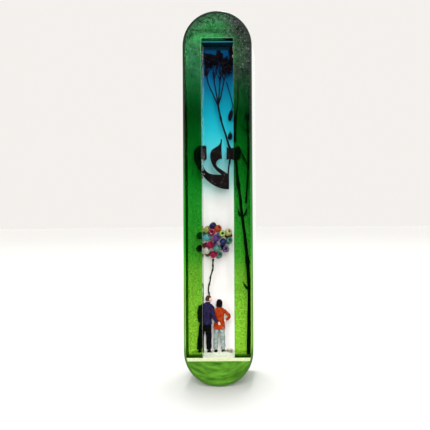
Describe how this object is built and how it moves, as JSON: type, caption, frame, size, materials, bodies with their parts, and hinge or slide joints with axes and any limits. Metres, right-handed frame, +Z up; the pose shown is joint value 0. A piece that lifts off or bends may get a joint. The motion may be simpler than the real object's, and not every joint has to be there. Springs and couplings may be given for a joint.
{
  "type": "mezuzah case",
  "caption": "Upright mezuzah case with rounded ends, a small scene behind a green-framed window, a scroll niche behind and a push-fit back cover with adhesive tape.",
  "frame": {"origin": "centre of the adhesive strip's wall face, at the case's mid-height", "axes": "+Z up along the case, +Y towards the doorpost, +X to the right as seen from the front"},
  "size_m": [0.024, 0.0195, 0.13],
  "materials": {
    "painted_case": "satin, green that lightens towards the bottom",
    "green_acrylic": "polished, see-through, dark green above and lime below",
    "clear_acrylic": "polished",
    "sand": "glued sand grains",
    "painted_cap": "brushed paint under varnish",
    "sky_card": "printed card, blue above and white below",
    "white_strip": "matt card",
    "green_block": "matt foam board",
    "speckled_letter": "dark lacquer with fine speckles",
    "purple_figure": "hand-painted",
    "orange_figure": "hand-painted",
    "black_wire": "crooked, enamelled",
    "dried_stalk": "dried plant, nearly black",
    "pressed_petals": "dried seed head, grey-brown",
    "parchment": "rolled parchment, blank",
    "paper_band": "paper",
    "white_cover": "fine-textured moulding",
    "foam_tape": "closed-cell foam",
    "olive_bead": "glossy coloured glass",
    "navy_bead": "glossy coloured glass",
    "crimson_bead": "glossy coloured glass",
    "orange_bead": "glossy coloured glass",
    "lime_bead": "glossy coloured glass",
    "yellow_bead": "glossy coloured glass",
    "dark_red_bead": "glossy coloured glass",
    "turquoise_bead": "glossy coloured glass",
    "green_bead": "glossy coloured glass",
    "rose_bead": "glossy coloured glass",
    "purple_bead": "glossy coloured glass",
    "teal_bead": "glossy coloured glass",
    "sea_green_bead": "glossy coloured glass",
    "plum_bead": "glossy coloured glass",
    "white_bead": "glossy coloured glass",
    "brown_bead": "glossy coloured glass"
  },
  "bodies": {
    "cover_body": {"back_cover": "white_cover", "adhesive_strip": "foam_tape"},
    "case_body": {"balloon_wire": "black_wire", "bead_01": "olive_bead", "bead_02": "navy_bead", "bead_03": "crimson_bead", "bead_04": "orange_bead", "bead_05": "lime_bead", "bead_06": "yellow_bead", "bead_07": "dark_red_bead", "bead_08": "turquoise_bead", "bead_09": "green_bead", "bead_10": "rose_bead", "bead_11": "purple_bead", "bead_12": "navy_bead", "bead_13": "teal_bead", "bead_14": "crimson_bead", "bead_15": "sea_green_bead", "bead_16": "plum_bead", "bead_17": "white_bead", "bead_18": "dark_red_bead", "bead_19": "brown_bead", "bead_20": "crimson_bead", "bead_21": "sea_green_bead", "bead_22": "green_bead", "bead_23": "dark_red_bead", "bead_24": "turquoise_bead", "bead_25": "purple_bead", "bead_26": "navy_bead", "bottom_cap": "painted_cap", "bud_sprig": "dried_stalk", "case_shell": "painted_case", "ceiling_strip": "white_strip", "front_frame": "green_acrylic", "pressed_flower": "pressed_petals", "sand_floor": "sand", "seed_umbel": "dried_stalk", "shin_letter": "speckled_letter", "short_figure": "orange_figure", "side_sprig": "dried_stalk", "sky_backdrop": "sky_card", "tall_figure": "purple_figure", "top_block": "green_block", "window_pane": "clear_acrylic"},
    "scroll_body": {"scroll": "parchment", "scroll_band": "paper_band"}
  },
  "joints": [
    {"name": "case_pull", "type": "slide", "parent": "cover_body", "child": "case_body", "axis": [0, -1, 0], "range_m": [0, 0.03]},
    {"name": "scroll_lift", "type": "slide", "parent": "case_body", "child": "scroll_body", "axis": [0, 1, 0], "range_m": [0, 0.015]}
  ],
  "couplings": [
    {"joint": "scroll_lift", "follows": "case_pull", "ratio": 0.5}
  ]
}
